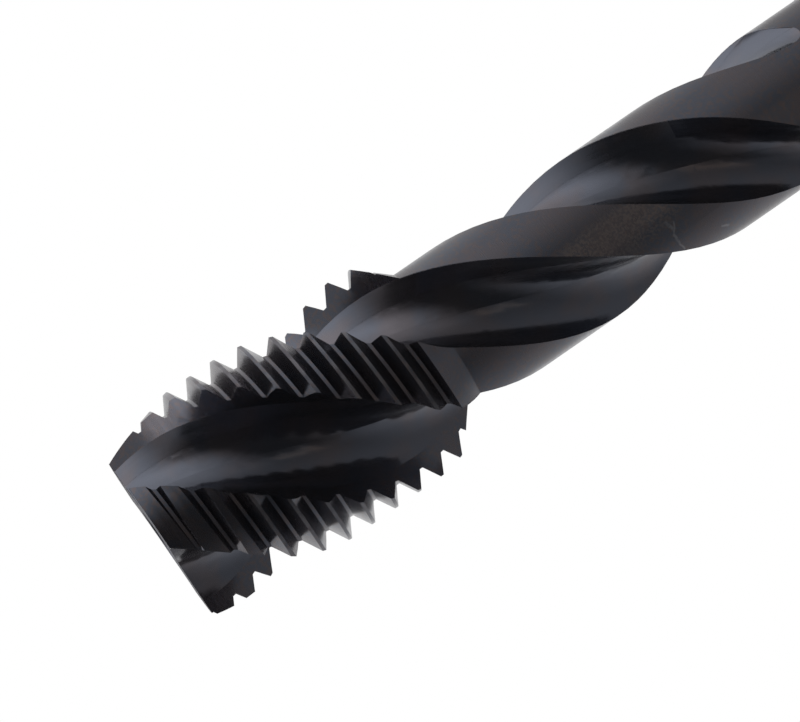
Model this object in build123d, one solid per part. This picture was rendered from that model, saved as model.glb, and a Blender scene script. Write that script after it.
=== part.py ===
from build123d import *

import os
from math import acos, ceil, cos, degrees, radians, sin, sqrt, tan

# A machine tap with three right-hand spiral flutes, for cutting an M16 x 2 right-hand thread.
# One piece of steel on one axis: cutting head, relieved neck, shank and driving square.
# The origin is the centre of the tip face, and +Z runs up the axis to the square.
# Lengths are millimetres and angles are degrees.

# Thread
MAJOR_D = 16.0
PITCH = 2.0
THREAD_ANGLE = 60.0
THREAD_DEPTH = 0.65 * PITCH
CREST_FLAT = PITCH / 8
THREAD_END = 21.6
SHOULDER_ANGLE = 41.0
CREST_HEIGHT_ON_X = 1.0

# Tapered lead that does the cutting, relieved from each cutting edge to the heel behind it
LEAD_THREADS = 2.6
LEAD_TAPER = 12.2
LEAD_RELIEF = 0.4
RELIEF_MARGIN = 10.0
RELIEF_SECTIONS = 4

# Neck, shank and driving square
TOTAL_LENGTH = 110.0
NECK_D = 11.5
SHANK_D = 12.0
SHANK_START = 60.0
SHANK_BLEND = 30.0
SQUARE_SIDE = 9.0
SQUARE_LENGTH = 12.0
SQUARE_RUNOUT_R = 6.0
END_CHAMFER = 0.8

# Flutes: at the tip the first cutting edge crosses +X at the neck radius
# Angles of the section are measured from that edge into the flute ahead of it
FLUTE_COUNT = 3
FLUTE_LEAD = 53.7
FACE_ANGLE = 3.0
CREST_HOOK = 2.5
WEB_R = 3.15
WEB_ANGLE = 38.0
FLOOR_CROWN = 0.25
WALL_FOOT_R = 4.27
WALL_FOOT_ANGLE = 69.0
HEEL_ANGLE = 76.0
HEEL_CREST_ANGLE = 77.0

# Flute run-out, where the grinding wheel lifts out of the neck
FULL_FLUTE_END = 46.0
RUNOUT_R = 25.0
RUNOUT_SECTIONS = 6

# Centre holes in both ends
CENTRE_D = 2.0
CENTRE_MOUTH_D = 4.25
CENTRE_DEPTH = 4.5
CENTRE_ANGLE = 60.0
DRILL_POINT_ANGLE = 118.0

# How far cutters stand clear of what they cut
CLEARANCE = 1.0
RIM_CLEARANCE = 0.08
GROOVE_OVERRUN = 16.0

# Sizes that follow from the ones above
MAJOR_R = MAJOR_D / 2
NECK_R = NECK_D / 2
SHANK_R = SHANK_D / 2
ROOT_R = MAJOR_R - THREAD_DEPTH
LEAD_LENGTH = LEAD_THREADS * PITCH
TIP_R = MAJOR_R - LEAD_LENGTH * tan(radians(LEAD_TAPER))
SHOULDER_END = THREAD_END + (MAJOR_R - NECK_R) / tan(radians(SHOULDER_ANGLE))
NECK_END = SHANK_START - (SHANK_R - NECK_R) / tan(radians(SHANK_BLEND))
LAND_ANGLE = 360 / FLUTE_COUNT - HEEL_ANGLE
TURN_PER_MM = 360 / FLUTE_LEAD
RUNOUT_LIFT = NECK_R - WEB_R + CLEARANCE / 2
RUNOUT_LENGTH = sqrt(2 * RUNOUT_R * RUNOUT_LIFT)


def centre_hole():
    """The half outline of a centre hole in a face at height zero, from its bottom to its mouth."""
    drill_r = CENTRE_D / 2
    mouth_r = CENTRE_MOUTH_D / 2
    cone_depth = (mouth_r - drill_r) / tan(radians(CENTRE_ANGLE / 2))
    point_depth = CENTRE_DEPTH + drill_r / tan(radians(DRILL_POINT_ANGLE / 2))
    return [(0, point_depth), (drill_r, CENTRE_DEPTH), (drill_r, cone_depth), (mouth_r, 0)]


def turned_blank():
    """The blank as it leaves the lathe: head, shoulder, neck, shank and centre holes."""
    tip_hole = centre_hole()
    end_hole = [(r, TOTAL_LENGTH - depth) for r, depth in reversed(centre_hole())]
    outside = [
        (MAJOR_R, 0),
        (MAJOR_R, THREAD_END),
        (NECK_R, SHOULDER_END),
        (NECK_R, NECK_END),
        (SHANK_R, SHANK_START),
        (SHANK_R, TOTAL_LENGTH - END_CHAMFER),
        (SHANK_R - END_CHAMFER, TOTAL_LENGTH),
    ]
    outline = [(r, 0, z) for r, z in tip_hole + outside + end_hole]
    return revolve(make_face(Polyline(*outline, close=True)), axis=Axis.Z)


def section_point(radius, angle):
    """A point of the flute section, its angle measured from the cutting edge into the flute."""
    return Vector(radius * cos(radians(angle)), -radius * sin(radians(angle)))


def flute_section():
    """One flute across the axis: hooked cutting face, round web, crowned floor and steep heel wall."""
    edge = section_point(NECK_R, 0)
    crest = section_point(MAJOR_R, CREST_HOOK)
    web = section_point(WEB_R, WEB_ANGLE)
    wall_foot = section_point(WALL_FOOT_R, WALL_FOOT_ANGLE)
    heel = section_point(NECK_R, HEEL_ANGLE)
    heel_crest = section_point(MAJOR_R, HEEL_CREST_ANGLE)
    outward = Vector(cos(radians(FACE_ANGLE)), -sin(radians(FACE_ANGLE)))
    face = TangentArc(edge, crest, tangent=outward)
    bottom = TangentArc(edge, web, tangent=-outward)
    floor = SagittaArc(web, wall_foot, FLOOR_CROWN)
    mouth_at_face = crest + (face % 1) * CLEARANCE
    mouth_at_heel = heel_crest + (heel_crest - heel).normalized() * CLEARANCE
    corner = Vector(mouth_at_face.X, mouth_at_heel.Y)
    open_side = Polyline(crest, mouth_at_face, corner, mouth_at_heel, heel, wall_foot)
    return make_face([face, bottom, floor, open_side])


def at_height(section, height):
    """The flute section carried up the axis and turned with the helix."""
    return Pos(0, 0, height) * Rot(0, 0, height * TURN_PER_MM) * section


def full_flute(section):
    """The flute at its full depth, from below the tip to the start of the run-out."""
    length = FULL_FLUTE_END + CLEARANCE
    foot = at_height(section, -CLEARANCE)
    return Solid.extrude_linear_with_rotation(
        foot.face(),
        center=(0, 0, -CLEARANCE),
        normal=(0, 0, length),
        angle=length * TURN_PER_MM,
    )


def flute_runout(section):
    """The end of the flute, which rises out of the neck on the arc of the wheel's lift."""
    steps = []
    for index in range(RUNOUT_SECTIONS + 1):
        travel = RUNOUT_LENGTH * index / RUNOUT_SECTIONS
        lift = section_point(travel**2 / (2 * RUNOUT_R), HEEL_ANGLE / 2)
        steps.append(at_height(Pos(lift) * section, FULL_FLUTE_END + travel))
    return loft(steps)


def outside_lead(height):
    """What lies outside one land of the lead at a height, its inner edge nearer the axis at the heel."""
    edge_r = TIP_R + height * tan(radians(LEAD_TAPER))
    outer_r = MAJOR_R + 2 * CLEARANCE
    behind_edge = [-RELIEF_MARGIN, LAND_ANGLE / 2, LAND_ANGLE + RELIEF_MARGIN]
    drop = [LEAD_RELIEF * angle / LAND_ANGLE for angle in behind_edge]
    inner = [section_point(edge_r - fall, -angle) for fall, angle in zip(drop, behind_edge)]
    outer = [section_point(outer_r, -angle) for angle in behind_edge]
    sides = [Line(inner[0], outer[0]), Line(inner[2], outer[2])]
    return make_face([ThreePointArc(*inner), ThreePointArc(*outer)] + sides)


def lead_relief():
    """What the relief grinding takes off one land, turning with the flutes as it widens."""
    top = LEAD_LENGTH + LEAD_RELIEF / tan(radians(LEAD_TAPER)) + CLEARANCE
    step = (top + CLEARANCE) / RELIEF_SECTIONS
    heights = [index * step - CLEARANCE for index in range(RELIEF_SECTIONS + 1)]
    return loft([at_height(outside_lead(height), height) for height in heights])


def groove_segment(sweep_angle):
    """A short length of thread groove, swept up the thread's helix from +X at height zero."""
    slope = tan(radians(THREAD_ANGLE / 2))
    half_gap = (PITCH - CREST_FLAT) / 2
    half_floor = half_gap - THREAD_DEPTH * slope
    half_mouth = half_gap + RIM_CLEARANCE * slope
    mouth_r = MAJOR_R + RIM_CLEARANCE
    section = Polyline(
        (ROOT_R, 0, -half_floor),
        (mouth_r, 0, -half_mouth),
        (mouth_r, 0, half_mouth),
        (ROOT_R, 0, half_floor),
        close=True,
    )
    path = Helix(PITCH, PITCH * sweep_angle / 360, ROOT_R)
    return sweep(make_face(section), path, is_frenet=True)


def thread_grooves():
    """Every groove between two teeth, one segment for each crossing of a land by the helix."""
    sweep_angle = LAND_ANGLE + 2 * GROOVE_OVERRUN
    segment = groove_segment(sweep_angle)
    centred = Pos(0, 0, -PITCH * sweep_angle / 720) * Rot(0, 0, -sweep_angle / 2) * segment
    gap_on_x = CREST_HEIGHT_ON_X - PITCH / 2
    tooth_step = PITCH / (1 - PITCH / FLUTE_LEAD)
    rows = ceil(SHOULDER_END / tooth_step) + 1
    grooves = []
    for land in range(FLUTE_COUNT):
        middle = LAND_ANGLE / 2 + land * 360 / FLUTE_COUNT
        lowest = (gap_on_x + PITCH * (middle / 360 - 1)) / (1 - PITCH / FLUTE_LEAD)
        for row in range(rows):
            height = lowest + row * tooth_step
            turn = middle + height * TURN_PER_MM
            grooves.append(Pos(0, 0, height) * Rot(0, 0, turn) * centred)
    return grooves


def square_side():
    """What is ground away to make one flat of the square, with the wheel's run-out below it."""
    flat_x = SQUARE_SIDE / 2
    outer_x = SHANK_R + CLEARANCE
    start = TOTAL_LENGTH - SQUARE_LENGTH
    top = TOTAL_LENGTH + CLEARANCE
    rise = outer_x - flat_x
    rise_angle = degrees(acos(1 - rise / SQUARE_RUNOUT_R))
    exit_z = start - SQUARE_RUNOUT_R * sin(radians(rise_angle))
    runout = TangentArc((flat_x, 0, start), (outer_x, 0, exit_z), tangent=(0, 0, -1))
    sides = Polyline((outer_x, 0, exit_z), (outer_x, 0, top), (flat_x, 0, top), (flat_x, 0, start))
    return extrude(make_face([runout, sides]), SHANK_R + CLEARANCE, both=True)


def spiral_flute_tap():
    """The finished tap: the blank with its square, lead, flutes and thread cut into it."""
    tap = turned_blank()
    tap -= [Rot(0, 0, 90 * side) * square_side() for side in range(4)]
    section = flute_section()
    for cutter in (lead_relief(), full_flute(section), flute_runout(section)):
        for flute in range(FLUTE_COUNT):
            tap -= Rot(0, 0, flute * 360 / FLUTE_COUNT) * cutter
    return tap - thread_grooves()


os.makedirs("parts", exist_ok=True)
export_step(spiral_flute_tap(), "parts/spiral_flute_tap.step")
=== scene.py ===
from math import cos, pi, radians, sin

import bpy
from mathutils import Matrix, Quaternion, Vector

bl_info = {
    "name": "Spiral flute tap",
    "version": (1, 0, 0),
    "blender": (4, 0, 0),
    "location": "View3D > Sidebar > Tap",
    "description": "Finishes a spiral flute machine tap and sets it in a plain studio",
    "category": "Object",
}

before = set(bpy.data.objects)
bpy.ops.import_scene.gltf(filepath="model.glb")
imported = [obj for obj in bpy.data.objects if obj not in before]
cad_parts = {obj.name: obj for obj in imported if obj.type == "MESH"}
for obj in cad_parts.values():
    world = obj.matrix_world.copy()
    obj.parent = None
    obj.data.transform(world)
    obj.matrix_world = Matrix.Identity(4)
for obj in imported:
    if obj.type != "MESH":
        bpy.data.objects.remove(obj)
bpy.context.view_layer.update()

MM = 0.001
TAP = "spiral_flute_tap"
FLUTE_LEAD = 53.7 * MM
NECK_RADIUS = 5.75 * MM
HEAD_RADIUS = 8.0 * MM
FLUTE_COUNT = 3

# The flute across the axis, with angles from the cutting edge toward the heel
BEHIND_EDGE = radians(-20)
FLUTE_MIDDLE = radians(38)
HEEL_ANGLE = radians(77)
CORE_RADIUS = 2.6 * MM

# Heights above the tip, and the arc on which the flutes rise out of the neck
NECK_START = 24.19 * MM
RUNOUT_START = 46.0 * MM
FLUTE_TOP = 59.0 * MM
RUNOUT_RADIUS = 25.0 * MM


def section_point(radius, angle):
    """A point of the flute across the axis."""
    return Vector((radius * cos(angle), radius * sin(angle)))


# The floor of a flute, from the web to the foot of the heel wall, and the fall and rise of its shading
FLOOR_START = section_point(3.15 * MM, radians(38))
FLOOR_END = section_point(4.27 * MM, radians(69))
FLOOR_FALL = 1.0 * MM
FLOOR_RISE = 1.45 * MM


def on_neck(angle, height):
    """A point on the skin of the neck."""
    return Vector((NECK_RADIUS * cos(radians(angle)), NECK_RADIUS * sin(radians(angle)), height))


# The warm place on the neck, lighter warm speckles that are partly a painted reflection of the warm patch
# in front and partly mottled coating: its middle, and its half width at full strength and at the edge
WARM_MOTTLE_AND_REFLECTION_PLACE = on_neck(-77, 38.2 * MM)
WARM_MOTTLE_AND_REFLECTION_CORE = 1.4 * MM
WARM_MOTTLE_AND_REFLECTION_EDGE = 2.1 * MM
WARM_MOTTLE_AND_REFLECTION_STRETCH = 0.28

# Lamps
LAMP_SIZE = 0.25
LAMP_POWER = 0.02

# The points that each light scratch on the neck runs through
SCRATCH_WIDTH = 0.13 * MM
SCRATCHES = (
    (
        on_neck(-62, 42.05 * MM),
        on_neck(-54, 41.75 * MM),
        on_neck(-46, 41.75 * MM),
        on_neck(-36, 41.9 * MM),
    ),
    (on_neck(-65, 41.5 * MM), on_neck(-59, 41.75 * MM)),
    (on_neck(-34, 45.1 * MM), on_neck(-30, 45.6 * MM)),
)


class TapSettings(bpy.types.PropertyGroup):
    """The coated steel of the tap."""

    steel: bpy.props.FloatVectorProperty(
        name="Coating",
        description="Colour of the dark coating on ground steel",
        subtype="COLOR",
        default=(0.084, 0.09, 0.111),
        min=0,
        max=1,
    )
    warm_steel: bpy.props.FloatVectorProperty(
        name="Warm coating",
        description="Colour of the coating where it clouds over",
        subtype="COLOR",
        default=(0.106, 0.093, 0.099),
        min=0,
        max=1,
    )
    # Lighter warm speckles on the neck: partly a painted reflection of the warm patch in front, partly
    # mottled coating
    reflected_warmth_and_mottle: bpy.props.FloatVectorProperty(
        name="Warm mottle and reflection",
        description="Colour of the speckles where the neck has browned",
        subtype="COLOR",
        default=(0.13, 0.12, 0.126),
        min=0,
        max=1,
    )
    # Lighter on crests and scratches: worn coating, and on the crests also a painted highlight
    highlit_and_rubbed_steel: bpy.props.FloatVectorProperty(
        name="Rubbed and highlit steel",
        description="Colour of crests and scratches where the coating is rubbed thin",
        subtype="COLOR",
        default=(0.17, 0.17, 0.185),
        min=0,
        max=1,
    )
    roughness: bpy.props.FloatProperty(
        name="Roughness",
        description="Roughness of the coated steel between its grinding lines",
        subtype="FACTOR",
        default=0.18,
        min=0,
        max=1,
    )
    line_depth: bpy.props.FloatProperty(
        name="Line depth",
        description="Depth of the grinding lines",
        subtype="DISTANCE",
        unit="LENGTH",
        default=0.01 * MM,
    )


class StudioSettings(bpy.types.PropertyGroup):
    """The camera: its place, aim, roll and lens."""

    camera_place: bpy.props.FloatVectorProperty(
        name="Camera place",
        description="Where the camera stands",
        subtype="TRANSLATION",
        unit="LENGTH",
        default=(12.63 * MM, -259.7 * MM, -5.83 * MM),
    )
    camera_aim: bpy.props.FloatVectorProperty(
        name="Camera aim",
        description="The point at the middle of the picture",
        subtype="TRANSLATION",
        unit="LENGTH",
        default=(-0.44 * MM, 0, 21.13 * MM),
    )
    camera_roll: bpy.props.FloatProperty(
        name="Camera roll",
        description="Turn of the camera about its line of sight",
        subtype="ANGLE",
        default=radians(55.48),
    )
    lens: bpy.props.FloatProperty(
        name="Lens",
        description="Focal length of the camera",
        subtype="DISTANCE_CAMERA",
        default=165.3,
    )


def feed(tree, socket, value):
    """Link a socket to another node's output, or set its own value."""
    if isinstance(value, bpy.types.NodeSocket):
        tree.links.new(value, socket)
    else:
        socket.default_value = value


def calc(tree, operation, *values):
    """The result of one step of arithmetic."""
    node = tree.nodes.new("ShaderNodeMath")
    node.operation = operation
    for socket, value in zip(node.inputs, values):
        feed(tree, socket, value)
    return node.outputs[0]


def soft_step(tree, value, start, end, low=0.0, high=1.0):
    """A smooth change from one level to another while the value goes from start to end."""
    node = tree.nodes.new("ShaderNodeMapRange")
    node.interpolation_type = "SMOOTHSTEP"
    for name, number in (("From Min", start), ("From Max", end), ("To Min", low), ("To Max", high)):
        node.inputs[name].default_value = number
    feed(tree, node.inputs["Value"], value)
    return node.outputs["Result"]


def band(tree, value, start, full, fading, end):
    """One between two soft edges, and nought beyond them."""
    rising = soft_step(tree, value, start, full)
    return calc(tree, "MULTIPLY", rising, soft_step(tree, value, fading, end, 1.0, 0.0))


def blend(tree, share, first, second, kind="FLOAT"):
    """A mix of two numbers or two colours."""
    node = tree.nodes.new("ShaderNodeMix")
    node.data_type = kind
    sockets = {
        "FLOAT": ("Factor_Float", "A_Float", "B_Float", "Result_Float"),
        "RGBA": ("Factor_Float", "A_Color", "B_Color", "Result_Color"),
    }[kind]
    by_name = {socket.identifier: socket for socket in [*node.inputs, *node.outputs]}
    for name, value in zip(sockets, (share, first, second)):
        feed(tree, by_name[name], value)
    return by_name[sockets[3]]


def noise(tree, vector, scale, detail=2.0):
    """The height of a noise at a place."""
    node = tree.nodes.new("ShaderNodeTexNoise")
    node.inputs["Scale"].default_value = scale
    node.inputs["Detail"].default_value = detail
    feed(tree, node.inputs["Vector"], vector)
    return node.outputs[0]


def noise_vector(tree, vector, scale):
    """Three noises at a place, each about zero, as a vector."""
    node = tree.nodes.new("ShaderNodeTexNoise")
    node.inputs["Scale"].default_value = scale
    feed(tree, node.inputs["Vector"], vector)
    return arrange(tree, "SUBTRACT", node.outputs["Color"], (0.5, 0.5, 0.5))


def soft_clamp(tree, value):
    """A number kept between nought and one."""
    node = tree.nodes.new("ShaderNodeClamp")
    feed(tree, node.inputs["Value"], value)
    return node.outputs[0]


def emboss(tree, height, strength, distance, normal=None):
    """The normal of a surface with a relief on it."""
    node = tree.nodes.new("ShaderNodeBump")
    node.inputs["Strength"].default_value = strength
    node.inputs["Distance"].default_value = distance
    feed(tree, node.inputs["Height"], height)
    if normal is not None:
        feed(tree, node.inputs["Normal"], normal)
    return node.outputs[0]


def arrange(tree, operation, first, second):
    """The result of one step of vector arithmetic."""
    node = tree.nodes.new("ShaderNodeVectorMath")
    node.operation = operation
    feed(tree, node.inputs[0], first)
    feed(tree, node.inputs[1], second)
    return node.outputs["Value" if operation in ("DOT_PRODUCT", "LENGTH", "DISTANCE") else "Vector"]


class TAP_OT_finish(bpy.types.Operator):
    """Give the tap its coated steel"""

    bl_idname = "tap.finish"
    bl_label = "Finish the tap"

    def execute(self, context):
        settings = context.scene.tap
        steel = bpy.data.materials.new("black_coated_steel")
        steel.use_nodes = True
        tree = steel.node_tree
        shader = tree.nodes["Principled BSDF"]
        place = tree.nodes.new("ShaderNodeTexCoord").outputs["Object"]
        axes = tree.nodes.new("ShaderNodeSeparateXYZ")
        feed(tree, axes.inputs[0], place)
        height = axes.outputs["Z"]
        radius = arrange(tree, "LENGTH", arrange(tree, "MULTIPLY", place, (1, 1, 0)), (0, 0, 0))
        in_flute = soft_step(tree, radius, NECK_RADIUS - 0.08 * MM, NECK_RADIUS - 0.02 * MM, 1.0, 0.0)
        untwisted = tree.nodes.new("ShaderNodeVectorRotate")
        untwisted.rotation_type = "Z_AXIS"
        feed(tree, untwisted.inputs["Vector"], place)
        feed(tree, untwisted.inputs["Angle"], calc(tree, "MULTIPLY", height, -2 * pi / FLUTE_LEAD))
        along_flute = arrange(tree, "MULTIPLY", untwisted.outputs[0], (1, 1, 0.02))
        round_axis = arrange(tree, "MULTIPLY", place, (0.05, 0.05, 1))
        flute_lines = noise(tree, along_flute, 4200)
        land_lines = noise(tree, round_axis, 3600)
        grain = noise(tree, place, 3000, 4.0)
        clouds = noise(tree, place, 260, 3.0)
        lines = blend(tree, in_flute, land_lines, flute_lines)

        angle = self.flute_angle(tree, untwisted.outputs[0])
        colour = self.coat_colour(tree, settings, place, radius, in_flute, grain, clouds)
        feed(tree, shader.inputs["Base Color"], colour)
        shader.inputs["Metallic"].default_value = 0.9
        rough = soft_step(tree, in_flute, 0.0, 1.0, settings.roughness + 0.05, settings.roughness - 0.02)
        rough = calc(tree, "ADD", rough, soft_step(tree, lines, 0.3, 0.7, -0.02, 0.03))
        rough = calc(tree, "ADD", rough, soft_step(tree, clouds, 0.3, 0.7, -0.02, 0.04))
        rough = calc(tree, "ADD", rough, self.extra_roughness(tree, in_flute, angle, height))
        feed(tree, shader.inputs["Roughness"], rough)
        sink = self.floor_sink(tree, angle, height, radius)
        smoothed = emboss(tree, sink, 1.0, 1.0)
        relief = calc(tree, "MULTIPLY_ADD", grain, 0.5, lines)
        feed(tree, shader.inputs["Normal"], emboss(tree, relief, 0.16, settings.line_depth, smoothed))
        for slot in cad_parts[TAP].material_slots:
            slot.material = steel
        return {"FINISHED"}

    def coat_colour(self, tree, settings, place, radius, in_flute, grain, clouds):
        """The coating, clouded and speckled, with lighter warm speckles on the neck that are partly a
        painted reflection and partly mottle, and lighter on crests and scratches, where it is worn thin, on
        the crests also as a painted highlight.
        """
        on_land = calc(tree, "SUBTRACT", 1.0, in_flute)
        speckles = calc(tree, "MULTIPLY", soft_step(tree, grain, 0.47, 0.6), on_land)
        clouded = calc(tree, "MAXIMUM", soft_step(tree, clouds, 0.4, 0.62, 0.0, 0.7), speckles)
        tint = blend(tree, clouded, (*settings.steel, 1), (*settings.warm_steel, 1), "RGBA")
        # Painted reflection, partly mottle: lighter warm speckles on a patch of the neck, where the warm
        # patch in front mirrors
        offset = arrange(tree, "SUBTRACT", place, WARM_MOTTLE_AND_REFLECTION_PLACE)
        offset = arrange(tree, "MULTIPLY", offset, (1, 1, WARM_MOTTLE_AND_REFLECTION_STRETCH))
        distance = arrange(tree, "LENGTH", offset, (0, 0, 0))
        warm_mottle_and_reflection = soft_step(tree, distance, WARM_MOTTLE_AND_REFLECTION_CORE, WARM_MOTTLE_AND_REFLECTION_EDGE, 1.0, 0.0)
        spots = soft_step(tree, noise(tree, place, 6000, 3.0), 0.46, 0.58)
        warm_mottle_and_reflection = calc(tree, "MULTIPLY", calc(tree, "MULTIPLY", warm_mottle_and_reflection, spots), on_land)
        tint = blend(tree, warm_mottle_and_reflection, tint, (*settings.reflected_warmth_and_mottle, 1), "RGBA")
        # Painted highlight, partly wear: the crests are lighter, where the coating is also worn
        crest = soft_step(tree, radius, HEAD_RADIUS - 0.1 * MM, HEAD_RADIUS - 0.03 * MM)
        rubbed_and_highlit = soft_step(tree, noise(tree, place, 900), 0.35, 0.6, 0.0, 0.5)
        rubbed_and_highlit = calc(tree, "MULTIPLY", crest, rubbed_and_highlit)
        rubbed_and_highlit = calc(tree, "MAXIMUM", rubbed_and_highlit, self.scratches(tree, place, grain))
        return blend(tree, rubbed_and_highlit, tint, (*settings.highlit_and_rubbed_steel, 1), "RGBA")

    def extra_roughness(self, tree, in_flute, angle, height):
        """Softer heel walls on the neck, where the floor's shading leaves a jagged streak, and tip face."""
        on_wall = soft_step(tree, angle, HEEL_ANGLE - radians(20), HEEL_ANGLE - radians(11))
        on_wall = calc(tree, "MULTIPLY", in_flute, on_wall)
        on_wall = calc(tree, "MULTIPLY", on_wall, band(tree, height, 27 * MM, 33 * MM, 39 * MM, 44 * MM))
        on_tip = soft_step(tree, height, 0.01 * MM, 0.03 * MM, 0.4, 0.0)
        return calc(tree, "MULTIPLY_ADD", on_wall, 0.16, on_tip)

    def flute_angle(self, tree, untwisted):
        """The angle from the cutting edge of the nearest flute toward its heel."""
        flat = tree.nodes.new("ShaderNodeSeparateXYZ")
        feed(tree, flat.inputs[0], untwisted)
        angle = calc(tree, "ARCTAN2", calc(tree, "MULTIPLY", flat.outputs["Y"], -1.0), flat.outputs["X"])
        return calc(tree, "WRAP", angle, 2 * pi / FLUTE_COUNT + BEHIND_EDGE, BEHIND_EDGE)

    def floor_sink(self, tree, angle, height, radius):
        """How far the shading of each flute's floor is bent.

        The part's floor is crowned where the real one is hollow. This changes its look and not its shape.
        """
        climb = calc(tree, "MAXIMUM", calc(tree, "SUBTRACT", height, RUNOUT_START), 0.0)
        lift = calc(tree, "MULTIPLY", calc(tree, "MULTIPLY", climb, climb), 0.5 / RUNOUT_RADIUS)
        chord = FLOOR_END - FLOOR_START
        along = chord.normalized()
        lifted = along.x * cos(FLUTE_MIDDLE) + along.y * sin(FLUTE_MIDDLE)
        x = calc(tree, "MULTIPLY", calc(tree, "COSINE", angle), radius)
        y = calc(tree, "MULTIPLY", calc(tree, "SINE", angle), radius)
        travel = calc(tree, "MULTIPLY_ADD", x, along.x, -along.dot(FLOOR_START))
        travel = calc(tree, "MULTIPLY_ADD", y, along.y, travel)
        travel = calc(tree, "MULTIPLY_ADD", lift, -lifted, travel)
        share = soft_clamp(tree, calc(tree, "DIVIDE", travel, chord.length))
        depth = calc(tree, "MULTIPLY", share, calc(tree, "MULTIPLY_ADD", share, FLOOR_RISE, -FLOOR_FALL))
        bounds = (
            soft_step(tree, height, 0.0, 0.02 * MM),
            soft_step(tree, height, FLUTE_TOP, FLUTE_TOP + 1.0 * MM, 1.0, 0.0),
            soft_step(tree, radius, CORE_RADIUS - 0.1 * MM, CORE_RADIUS),
            soft_step(tree, angle, HEEL_ANGLE + radians(0.2), HEEL_ANGLE + radians(0.3), 1.0, 0.0),
        )
        on_skin = soft_step(tree, radius, NECK_RADIUS - 0.05 * MM, NECK_RADIUS - 0.035 * MM)
        on_neck_length = soft_step(tree, height, NECK_START - 0.02 * MM, NECK_START)
        on_skin = calc(tree, "MULTIPLY", on_skin, on_neck_length)
        depth = calc(tree, "MULTIPLY", depth, calc(tree, "SUBTRACT", 1.0, on_skin))
        for bound in bounds:
            depth = calc(tree, "MULTIPLY", depth, bound)
        return depth

    def scratches(self, tree, place, grain):
        """Light scratches on the neck, each a wavering line between two points."""
        wander = arrange(tree, "MULTIPLY", noise_vector(tree, place, 900), (0.3 * MM, 0.3 * MM, 0.6 * MM))
        shaken = arrange(tree, "ADD", place, wander)
        marks = 0.0
        for points in SCRATCHES:
            for start, end in zip(points, points[1:]):
                run = end - start
                travel = arrange(tree, "SUBTRACT", shaken, start)
                travel = arrange(tree, "DOT_PRODUCT", travel, run / run.length_squared)
                nearest = tree.nodes.new("ShaderNodeVectorMath")
                nearest.operation = "SCALE"
                nearest.inputs[0].default_value = run
                feed(tree, nearest.inputs["Scale"], soft_clamp(tree, travel))
                gap = arrange(tree, "DISTANCE", shaken, arrange(tree, "ADD", nearest.outputs[0], start))
                mark = soft_step(tree, gap, 0.3 * SCRATCH_WIDTH, SCRATCH_WIDTH, 1.0, 0.0)
                marks = calc(tree, "MAXIMUM", marks, mark)
        return calc(tree, "MULTIPLY", marks, soft_step(tree, grain, 0.3, 0.55, 0.3, 0.9))


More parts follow.
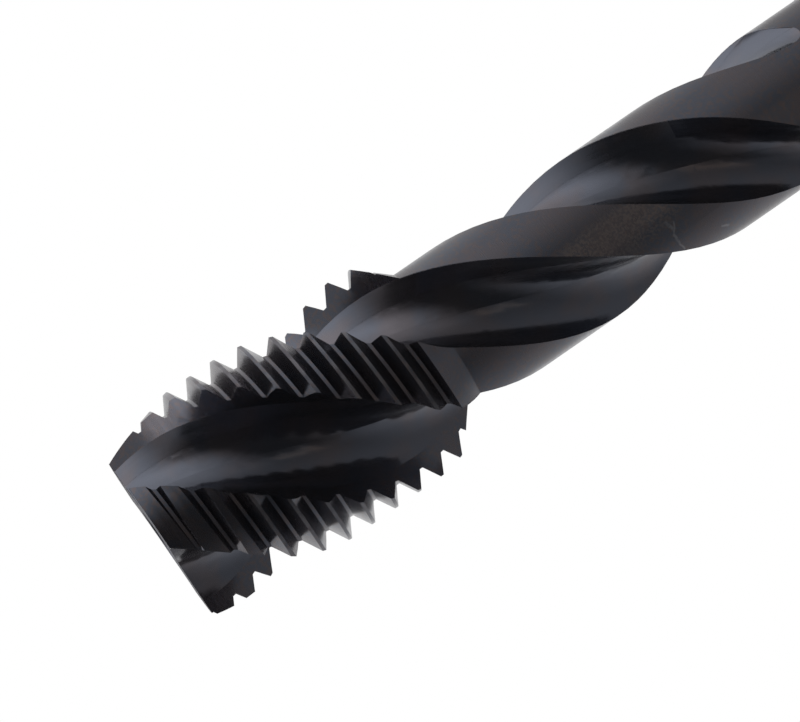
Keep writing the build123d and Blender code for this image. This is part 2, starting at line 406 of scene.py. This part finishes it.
class TAP_OT_studio(bpy.types.Operator):
    """Set the floor, the white surroundings, the lamps and the camera"""

    bl_idname = "tap.studio"
    bl_label = "Set the studio"

    def execute(self, context):
        studio = context.scene.tap_studio
        self.add_floor()
        self.add_world(context.scene)
        self.add_lamp("left_lamp", (-0.46, 0.18, 0.12))
        self.add_lamp("right_lamp", (0.4, 0.22, 0.26))
        self.add_camera(context.scene, studio)
        context.scene.view_settings.view_transform = "Standard"
        return {"FINISHED"}

    def add_floor(self):
        """A round pale floor under the tip, clear from below and in the reflections of the tap."""
        bpy.ops.mesh.primitive_circle_add(vertices=96, radius=0.6, fill_type="NGON")
        floor = bpy.context.active_object
        floor.name = "floor"
        floor.location.z = -0.05 * MM
        paint = bpy.data.materials.new("pale_floor")
        paint.use_nodes = True
        tree = paint.node_tree
        nodes, links = tree.nodes, tree.links
        shader = nodes["Principled BSDF"]
        shader.inputs["Base Color"].default_value = (0.85, 0.85, 0.85, 1)
        shader.inputs["Roughness"].default_value = 0.8
        side = nodes.new("ShaderNodeNewGeometry")
        path = nodes.new("ShaderNodeLightPath")
        clear = nodes.new("ShaderNodeBsdfTransparent")
        mix = nodes.new("ShaderNodeMixShader")
        see_through = calc(tree, "MAXIMUM", side.outputs["Backfacing"], path.outputs["Is Glossy Ray"])
        links.new(see_through, mix.inputs["Fac"])
        links.new(shader.outputs["BSDF"], mix.inputs[1])
        links.new(clear.outputs["BSDF"], mix.inputs[2])
        links.new(mix.outputs["Shader"], nodes["Material Output"].inputs["Surface"])
        floor.data.materials.append(paint)

    def add_world(self, scene):
        """White for the camera, and a light tent with a dark opening for reflections."""
        world = bpy.data.worlds.new("light_tent")
        world.use_nodes = True
        scene.world = world
        tree = world.node_tree
        nodes, links = tree.nodes, tree.links
        direction = nodes.new("ShaderNodeTexCoord")
        axes = nodes.new("ShaderNodeSeparateXYZ")
        links.new(direction.outputs["Generated"], axes.inputs[0])
        around = calc(tree, "ARCTAN2", axes.outputs["X"], calc(tree, "MULTIPLY", axes.outputs["Y"], -1.0))
        rise = calc(tree, "ARCSINE", axes.outputs["Z"])
        tent = self.tent_level(tree, around, rise)
        path = nodes.new("ShaderNodeLightPath")
        mirrored = calc(tree, "MAXIMUM", path.outputs["Is Glossy Ray"], path.outputs["Is Transmission Ray"])
        patch = self.warm_patch(tree, around, rise)
        tent = calc(tree, "MULTIPLY_ADD", patch, 0.2, tent)
        level = blend(tree, mirrored, 0.5, tent)
        level = blend(tree, path.outputs["Is Camera Ray"], level, 1.0)
        links.new(level, nodes["Background"].inputs["Strength"])
        warmth = calc(tree, "MULTIPLY", patch, mirrored)
        colour = blend(tree, warmth, (1, 1, 1, 1), (1.14, 0.97, 0.82, 1), "RGBA")
        links.new(colour, nodes["Background"].inputs["Color"])

    def warm_patch(self, tree, around, rise):
        """A dim brown patch that the neck mirrors in front of the tap."""
        width = band(tree, around, radians(-10), radians(-3), radians(31), radians(39))
        height = band(tree, rise, radians(5), radians(8), radians(12), radians(16))
        return calc(tree, "MULTIPLY", width, height)

    def tent_level(self, tree, around, rise):
        """How bright the tent is in a direction, from the angle around the tap and the rise above level."""
        opening = soft_step(tree, rise, radians(5), radians(75), 0.18, 0.37)
        opening = blend(tree, soft_step(tree, rise, 0.0, radians(7)), 0.05, opening)

        left_wall = soft_step(tree, rise, radians(-27), radians(32), 1.8, 0.34)
        foot = soft_step(tree, rise, radians(-60), radians(-44), 0.5, 1.0)
        left_wall = calc(tree, "MULTIPLY", left_wall, foot)
        edge = calc(tree, "MAXIMUM", calc(tree, "SUBTRACT", rise, radians(14)), 0.0)
        edge = calc(tree, "MULTIPLY", edge, 1.3)
        edge = calc(tree, "ADD", edge, soft_step(tree, rise, radians(-8), radians(2), radians(-9), 0.0))
        edge = calc(tree, "ADD", edge, soft_step(tree, rise, radians(-42), radians(-24), radians(16), 0.0))
        edge = calc(tree, "ADD", edge, around)
        tent = blend(tree, soft_step(tree, edge, radians(-84), radians(6)), left_wall, opening)
        right_wall = soft_step(tree, rise, radians(40), radians(62), 0.74, 0.36)
        tent = blend(tree, soft_step(tree, around, radians(45), radians(140)), tent, right_wall)

        under = soft_step(tree, around, radians(-10), radians(15), 0.65, 2.2)
        drop = soft_step(tree, around, radians(-15), radians(5), radians(9), 0.0)
        deep = calc(tree, "SUBTRACT", rise, drop)
        tent = blend(tree, soft_step(tree, deep, radians(-60), radians(-66)), tent, under)
        behind = soft_step(tree, calc(tree, "ABSOLUTE", around), radians(138), radians(165))
        return blend(tree, behind, tent, 0.95)

    def add_lamp(self, name, place):
        """A square lamp that faces the middle of the head."""
        lamp = bpy.data.lights.new(name, "AREA")
        lamp.size = LAMP_SIZE
        lamp.energy = LAMP_POWER
        holder = bpy.data.objects.new(name, lamp)
        bpy.context.scene.collection.objects.link(holder)
        holder.location = place
        holder.visible_camera = False
        holder.rotation_mode = "QUATERNION"
        aim = Vector((0, 0, 0.02))
        holder.rotation_quaternion = (aim - Vector(place)).to_track_quat("-Z", "Y")

    def add_camera(self, scene, studio):
        """The camera of the photograph, rolled so that the tap lies across the picture."""
        camera = bpy.data.cameras.new("camera")
        camera.lens = studio.lens
        camera.sensor_width = 36
        camera.clip_start = 0.01
        holder = bpy.data.objects.new("camera", camera)
        scene.collection.objects.link(holder)
        place, aim = Vector(studio.camera_place), Vector(studio.camera_aim)
        holder.location = place
        holder.rotation_mode = "QUATERNION"
        level = (aim - place).to_track_quat("-Z", "Y")
        holder.rotation_quaternion = level @ Quaternion((0, 0, 1), studio.camera_roll)
        scene.camera = holder


class TAP_PT_sidebar(bpy.types.Panel):
    """The steps that dress and stage the tap."""

    bl_label = "Spiral flute tap"
    bl_idname = "TAP_PT_sidebar"
    bl_space_type = "VIEW_3D"
    bl_region_type = "UI"
    bl_category = "Tap"

    def draw(self, context):
        layout = self.layout
        layout.operator("tap.finish")
        layout.operator("tap.studio")


CLASSES = (TapSettings, StudioSettings, TAP_OT_finish, TAP_OT_studio, TAP_PT_sidebar)


def register():
    for cls in CLASSES:
        bpy.utils.register_class(cls)
    bpy.types.Scene.tap = bpy.props.PointerProperty(type=TapSettings)
    bpy.types.Scene.tap_studio = bpy.props.PointerProperty(type=StudioSettings)


def unregister():
    del bpy.types.Scene.tap_studio
    del bpy.types.Scene.tap
    for cls in reversed(CLASSES):
        bpy.utils.unregister_class(cls)


def main():
    register()
    bpy.ops.tap.finish()
    bpy.ops.tap.studio()


if __name__ == "__main__":
    main()
